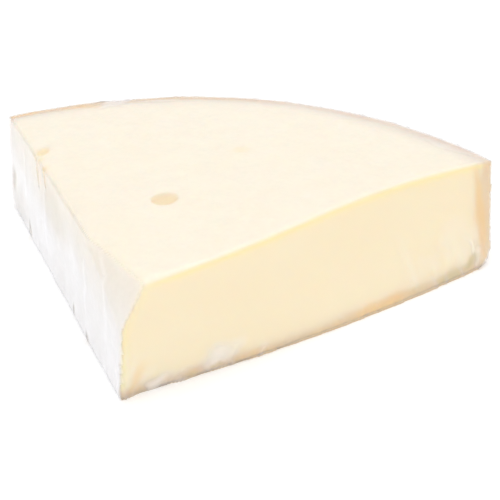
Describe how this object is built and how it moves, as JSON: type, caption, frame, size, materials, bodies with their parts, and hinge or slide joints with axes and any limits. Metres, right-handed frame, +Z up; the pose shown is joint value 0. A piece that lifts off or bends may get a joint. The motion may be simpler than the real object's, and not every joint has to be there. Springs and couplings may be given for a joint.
{
  "type": "film-wrapped cheese wedge",
  "caption": "Low quarter-wheel wedge of pale semi-hard cheese with a thin natural rind, sealed in clear shrink film, resting on its underside.",
  "frame": {"origin": "centre of the bounding box's bottom face, on the surface that the wedge rests on", "axes": "+Z up from the wheel's underside to the level cut; +Y from the thin nose to the rim of the wheel; +X to the right when seen from the nose"},
  "size_m": [0.2274, 0.1668, 0.0444],
  "materials": {
    "cheese": "pale ivory paste, satin, with a thin tan natural rind on the rim and the underside",
    "clear_film": "clear glossy shrink film, milky where it is creased"
  },
  "bodies": {
    "root": {"cheese_wedge": "cheese", "shrink_film": "clear_film"}
  },
  "joints": []
}
